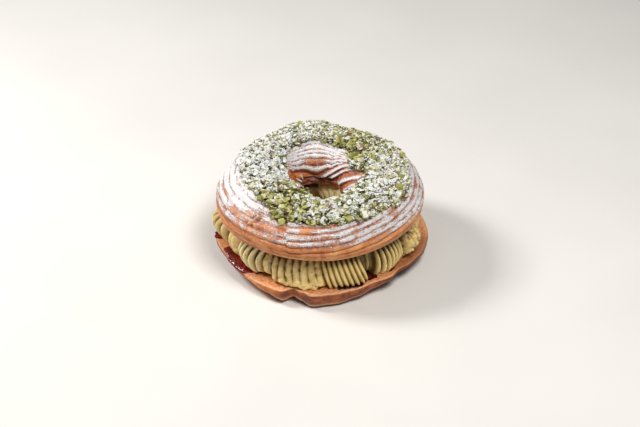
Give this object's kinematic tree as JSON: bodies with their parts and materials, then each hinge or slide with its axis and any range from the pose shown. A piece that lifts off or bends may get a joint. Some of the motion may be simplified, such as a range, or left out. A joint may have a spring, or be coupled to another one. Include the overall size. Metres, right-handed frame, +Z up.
{
  "type": "pistachio paris-brest",
  "caption": "Ring of choux pastry cut level and sandwiched with ridged pistachio cream over red jam, its crown dusted with icing sugar and covered in chopped pistachios.",
  "frame": {"origin": "on the ground under the middle of the ring, at the bottom centre of its box", "axes": "+Z up through the hole; -Y faces the front, where the piped cream shows best and the lower half has its notch; +X to the right of that view"},
  "size_m": [0.1107, 0.1104, 0.0496],
  "materials": {
    "baked_crust": "baked choux crust, satin, golden brown",
    "red_jam": "wet glossy dark red jam",
    "pistachio_cream": "piped nut cream with fine specks",
    "sugared_crust": "ridged choux crust dusted with icing sugar",
    "chopped_pistachio": "chopped green pistachio kernels",
    "icing_sugar": "dry white icing sugar"
  },
  "bodies": {
    "root": {"choux_base": "baked_crust", "jam": "red_jam", "cream": "pistachio_cream", "choux_lid": "sugared_crust"}
  },
  "joints": []
}
